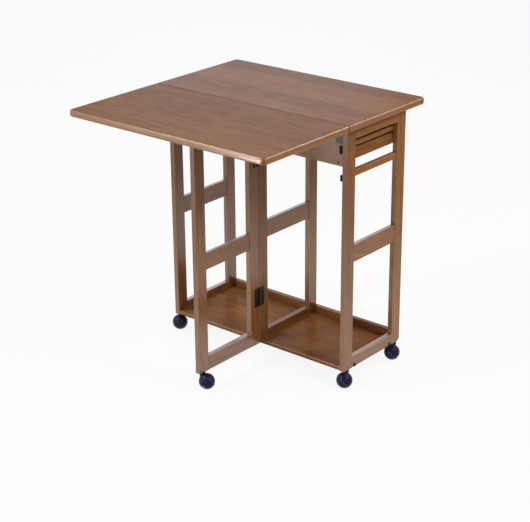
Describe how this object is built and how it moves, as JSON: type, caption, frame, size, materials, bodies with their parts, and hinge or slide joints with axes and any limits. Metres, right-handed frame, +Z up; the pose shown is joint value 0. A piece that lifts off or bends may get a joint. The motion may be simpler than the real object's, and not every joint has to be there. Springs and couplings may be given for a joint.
{
  "type": "drop-leaf kitchen table on casters",
  "caption": "Square stained-wood kitchen table on swivel casters: hinged drop leaf held up by a swing gate, open bays over low shelves, an end drawer and a towel bar.",
  "frame": {"origin": "on the floor under the middle of the raised top", "axes": "+X towards the end with the drawer and towel bar, +Y from the leaf towards the back, +Z up"},
  "size_m": [0.739, 0.751, 0.833],
  "materials": {
    "stained_wood": "satin stained",
    "steel": "satin",
    "black_plastic": "slight sheen"
  },
  "bodies": {
    "frame": {"fixed_top": "stained_wood", "front_apron": "stained_wood", "back_apron": "stained_wood", "right_end_apron": "stained_wood", "left_end_apron": "stained_wood", "right_front_post": "stained_wood", "right_back_post": "stained_wood", "right_top_rail": "stained_wood", "right_mid_rail": "stained_wood", "right_bottom_rail": "stained_wood", "left_front_post": "stained_wood", "left_back_post": "stained_wood", "left_top_rail": "stained_wood", "left_mid_rail": "stained_wood", "left_bottom_rail": "stained_wood", "middle_front_post": "stained_wood", "middle_back_post": "stained_wood", "middle_top_rail": "stained_wood", "middle_mid_rail": "stained_wood", "middle_bottom_rail": "stained_wood", "right_towel_bar": "stained_wood", "back_base_rail": "stained_wood", "left_shelf_panel": "stained_wood", "right_shelf_panel": "stained_wood", "drawer_runners": "stained_wood", "shelf_bolts": "steel", "leaf_hinge_top_flaps": "steel", "leaf_hinge_pins": "steel", "gate_hinge_frame_flaps": "steel", "gate_hinge_pins": "steel", "gate_catch": "black_plastic", "post_buffers": "black_plastic", "top_brackets": "steel", "caster_stems": "steel"},
    "leaf": {"drop_leaf": "stained_wood", "leaf_hinge_leaf_flaps": "steel", "leaf_rest_block": "stained_wood", "gate_stop_strip": "stained_wood"},
    "gate": {"gate_hinge_post": "stained_wood", "gate_outer_post": "stained_wood", "gate_top_rail": "stained_wood", "gate_mid_rail": "stained_wood", "gate_bottom_rail": "stained_wood", "gate_hinge_gate_flaps": "steel", "gate_strike_plate": "steel", "gate_caster_stem": "steel"},
    "drawer": {"drawer_front": "stained_wood", "drawer_sides": "stained_wood", "drawer_back": "stained_wood", "drawer_floor": "stained_wood"},
    "right_front_caster_swivel": {"right_front_caster_hood": "black_plastic"},
    "right_front_caster_roller": {"right_front_caster_wheels": "black_plastic"},
    "right_back_caster_swivel": {"right_back_caster_hood": "black_plastic"},
    "right_back_caster_roller": {"right_back_caster_wheels": "black_plastic"},
    "left_front_caster_swivel": {"left_front_caster_hood": "black_plastic"},
    "left_front_caster_roller": {"left_front_caster_wheels": "black_plastic"},
    "left_back_caster_swivel": {"left_back_caster_hood": "black_plastic"},
    "left_back_caster_roller": {"left_back_caster_wheels": "black_plastic"},
    "gate_caster_swivel": {"gate_caster_hood": "black_plastic"},
    "gate_caster_roller": {"gate_caster_wheels": "black_plastic"}
  },
  "joints": [
    {"name": "leaf_lift", "type": "hinge", "parent": "frame", "child": "leaf", "pos_m": [0, -0.004, 0.8088], "axis": [-1, 0, 0], "range_deg": [0, 2]},
    {"name": "gate_swing", "type": "hinge", "parent": "frame", "child": "gate", "pos_m": [0.0197, 0.01975, 0.4], "axis": [0, 0, 1], "range_deg": [0, 90]},
    {"name": "drawer_slide", "type": "slide", "parent": "frame", "child": "drawer", "axis": [1, 0, 0], "range_m": [0, 0.2]},
    {"name": "right_front_swivel", "type": "hinge", "parent": "frame", "child": "right_front_caster_swivel", "pos_m": [0.3365, 0.041, 0.047], "axis": [0, 0, 1], "continuous": true},
    {"name": "right_front_roll", "type": "hinge", "parent": "right_front_caster_swivel", "child": "right_front_caster_roller", "pos_m": [0.34439, 0.02482, 0.025], "axis": [-0.6885, -0.3358, -0.6428], "continuous": true},
    {"name": "right_back_swivel", "type": "hinge", "parent": "frame", "child": "right_back_caster_swivel", "pos_m": [0.3365, 0.29, 0.047], "axis": [0, 0, 1], "continuous": true},
    {"name": "right_back_roll", "type": "hinge", "parent": "right_back_caster_swivel", "child": "right_back_caster_roller", "pos_m": [0.34439, 0.27382, 0.025], "axis": [-0.6885, -0.3358, -0.6428], "continuous": true},
    {"name": "left_front_swivel", "type": "hinge", "parent": "frame", "child": "left_front_caster_swivel", "pos_m": [-0.3365, 0.041, 0.047], "axis": [0, 0, 1], "continuous": true},
    {"name": "left_front_roll", "type": "hinge", "parent": "left_front_caster_swivel", "child": "left_front_caster_roller", "pos_m": [-0.32861, 0.02482, 0.025], "axis": [-0.6885, -0.3358, -0.6428], "continuous": true},
    {"name": "left_back_swivel", "type": "hinge", "parent": "frame", "child": "left_back_caster_swivel", "pos_m": [-0.3365, 0.29, 0.047], "axis": [0, 0, 1], "continuous": true},
    {"name": "left_back_roll", "type": "hinge", "parent": "left_back_caster_swivel", "child": "left_back_caster_roller", "pos_m": [-0.32861, 0.27382, 0.025], "axis": [-0.6885, -0.3358, -0.6428], "continuous": true},
    {"name": "gate_swivel", "type": "hinge", "parent": "gate", "child": "gate_caster_swivel", "pos_m": [0.008, -0.2405, 0.047], "axis": [0, 0, 1], "continuous": true},
    {"name": "gate_roll", "type": "hinge", "parent": "gate_caster_swivel", "child": "gate_caster_roller", "pos_m": [0.026, -0.2405, 0.025], "axis": [0, -0.766, -0.6428], "continuous": true}
  ]
}
